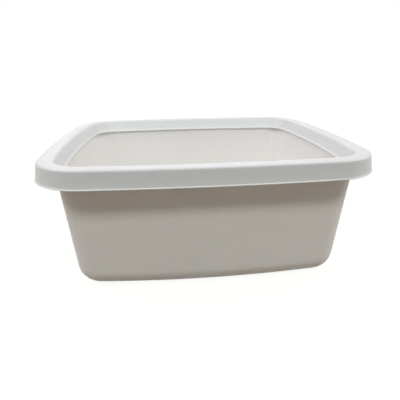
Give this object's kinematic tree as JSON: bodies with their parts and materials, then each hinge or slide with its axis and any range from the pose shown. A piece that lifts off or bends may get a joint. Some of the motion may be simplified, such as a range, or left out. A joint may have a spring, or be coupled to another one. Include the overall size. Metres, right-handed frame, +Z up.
{
  "type": "plastic basin",
  "caption": "Deep rectangular basin with bowed sides, drafted walls and large round corners, and a channel-shaped rim frame that caps its flange and lifts off.",
  "frame": {"origin": "centre of the underside, on the surface that the basin stands on", "axes": "+X along the long sides, +Y along the short sides, +Z up out of the basin's mouth"},
  "size_m": [0.37, 0.329, 0.1454],
  "materials": {
    "pan_plastic": "satin, warm white",
    "frame_plastic": "satin, cool white"
  },
  "bodies": {
    "pan": {"pan": "pan_plastic"},
    "rim_frame": {"rim_frame": "frame_plastic"}
  },
  "joints": [
    {"name": "rim_frame_lift", "type": "slide", "parent": "pan", "child": "rim_frame", "axis": [0, 0, 1], "range_m": [0, 0.06]}
  ]
}
